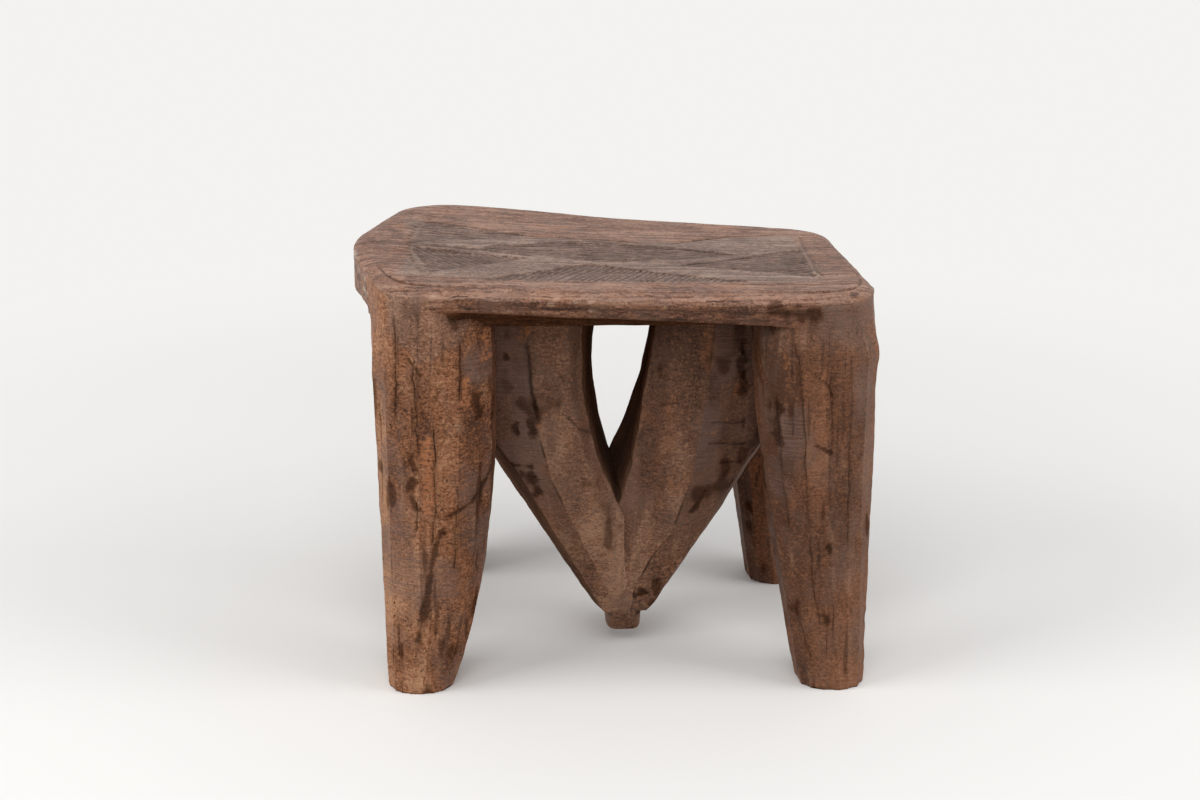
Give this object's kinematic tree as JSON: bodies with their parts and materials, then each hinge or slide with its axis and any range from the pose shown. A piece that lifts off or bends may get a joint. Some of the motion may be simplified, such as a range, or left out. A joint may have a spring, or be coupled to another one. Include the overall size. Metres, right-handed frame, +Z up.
{
  "type": "carved wooden stool",
  "caption": "Low carved wooden stool with a thick rounded seat, hewn tapering corner legs and a slotted V-shaped brace under the middle that ends in a short stub.",
  "frame": {"origin": "on the floor, under the middle of the stool's outline", "axes": "+X to the sitter's right in the picture, along the seat's length; +Y from front to back; +Z up"},
  "size_m": [0.3643, 0.2781, 0.3008],
  "materials": {
    "seat_wood": "worn dark hardwood, dull sheen, carved field",
    "leg_wood": "hewn reddish-brown hardwood, dull",
    "brace_wood": "hewn dark hardwood, dull"
  },
  "bodies": {
    "root": {"seat_slab": "seat_wood", "leg_front_left": "leg_wood", "leg_front_right": "leg_wood", "leg_back_left": "leg_wood", "leg_back_right": "leg_wood", "brace_arm_left": "brace_wood", "brace_arm_right": "brace_wood", "brace_stub": "brace_wood"}
  },
  "joints": []
}
